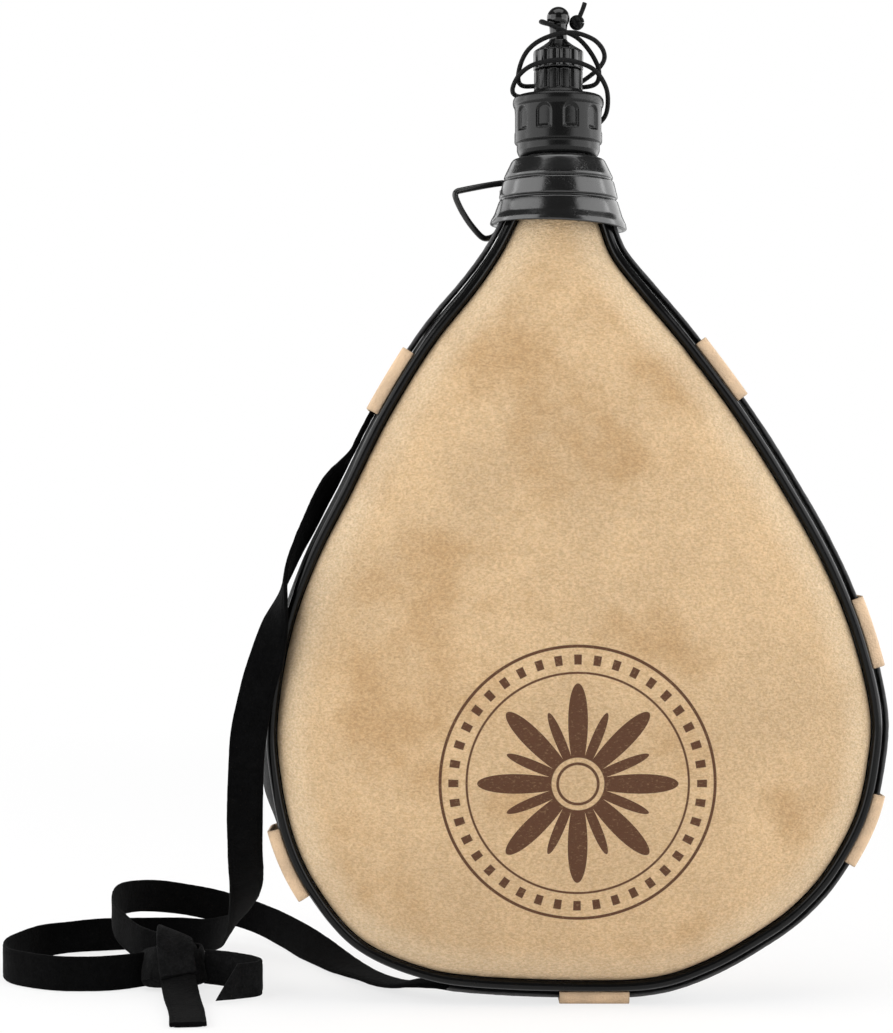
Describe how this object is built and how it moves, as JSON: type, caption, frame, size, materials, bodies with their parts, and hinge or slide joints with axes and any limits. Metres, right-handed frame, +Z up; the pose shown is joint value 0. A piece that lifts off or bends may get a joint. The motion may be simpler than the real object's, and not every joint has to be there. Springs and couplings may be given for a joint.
{
  "type": "leather bota bag",
  "caption": "Teardrop leather drinking bag with a black edge, side strap loops, shoulder strap, cone collar, screw cap and screw stopper with a wound cord.",
  "frame": {"origin": "centre of the flat underside of the bottom strap loop, on the floor", "axes": "+Z up to the stopper, +X to the right seen from the front panel, +Y from the front panel to the back panel"},
  "size_m": [0.308, 0.1606, 0.3392],
  "materials": {
    "tan_leather": "light suede, fine nap",
    "loop_leather": "smooth vegetable-tanned strip",
    "gusset_fabric": "black woven band",
    "edge_bead": "glossy black piping",
    "strap_suede": "black brushed strap, fuzzy",
    "closure_plastic": "black moulded plastic, satin gloss",
    "cord": "black round cord",
    "liner_rubber": "natural rubber",
    "clamp_steel": "plain band",
    "seal_rubber": "soft red seal",
    "spout_plastic": "moulded, hidden under the cap",
    "wire": "black coated wire"
  },
  "bodies": {
    "bag": {"front_leather_panel": "tan_leather", "back_leather_panel": "tan_leather", "gusset_band": "gusset_fabric", "front_edge_trim": "edge_bead", "back_edge_trim": "edge_bead", "loop_left_upper": "loop_leather", "loop_left_middle": "loop_leather", "loop_left_lower": "loop_leather", "loop_right_upper": "loop_leather", "loop_right_middle": "loop_leather", "loop_right_lower": "loop_leather", "loop_bottom": "loop_leather", "strap_left_run": "strap_suede", "strap_hanging_run": "strap_suede", "strap_back_run": "strap_suede", "strap_right_run": "strap_suede", "strap_knot": "strap_suede", "strap_tail_front": "strap_suede", "strap_tail_right": "strap_suede", "collar": "closure_plastic", "liner": "liner_rubber", "neck_clamp": "clamp_steel", "spout": "spout_plastic"},
    "cap_lift": {"cap_gasket": "seal_rubber"},
    "cap": {"filling_cap": "closure_plastic", "drinking_nozzle": "spout_plastic"},
    "stopper_lift": {"stopper_seal": "seal_rubber", "retaining_cord": "cord", "retaining_cord_knot": "cord"},
    "stopper": {"stopper": "closure_plastic"},
    "hang_loop": {"hang_loop": "wire"}
  },
  "joints": [
    {"name": "cap_rise", "type": "slide", "parent": "bag", "child": "cap_lift", "axis": [0, 0, 1], "range_m": [0, 0.009]},
    {"name": "cap_turn", "type": "hinge", "parent": "cap_lift", "child": "cap", "pos_m": [-0.0117, 0, 0.3], "axis": [0, 0, 1], "range_deg": [0, 1080]},
    {"name": "stopper_rise", "type": "slide", "parent": "cap", "child": "stopper_lift", "axis": [0, 0, 1], "range_m": [0, 0.0045], "deforming": ["retaining_cord"]},
    {"name": "stopper_turn", "type": "hinge", "parent": "stopper_lift", "child": "stopper", "pos_m": [-0.0117, 0, 0.32], "axis": [0, 0, 1], "range_deg": [0, 1080]},
    {"name": "hang_loop_swing", "type": "hinge", "parent": "bag", "child": "hang_loop", "pos_m": [-0.0293, 0.0124, 0.2735], "axis": [0, 0, 1], "range_deg": [-60, 15]}
  ],
  "couplings": [
    {"joint": "cap_turn", "follows": "cap_rise", "rad_per_m": 2094.4},
    {"joint": "stopper_turn", "follows": "stopper_rise", "rad_per_m": 4188.8}
  ]
}
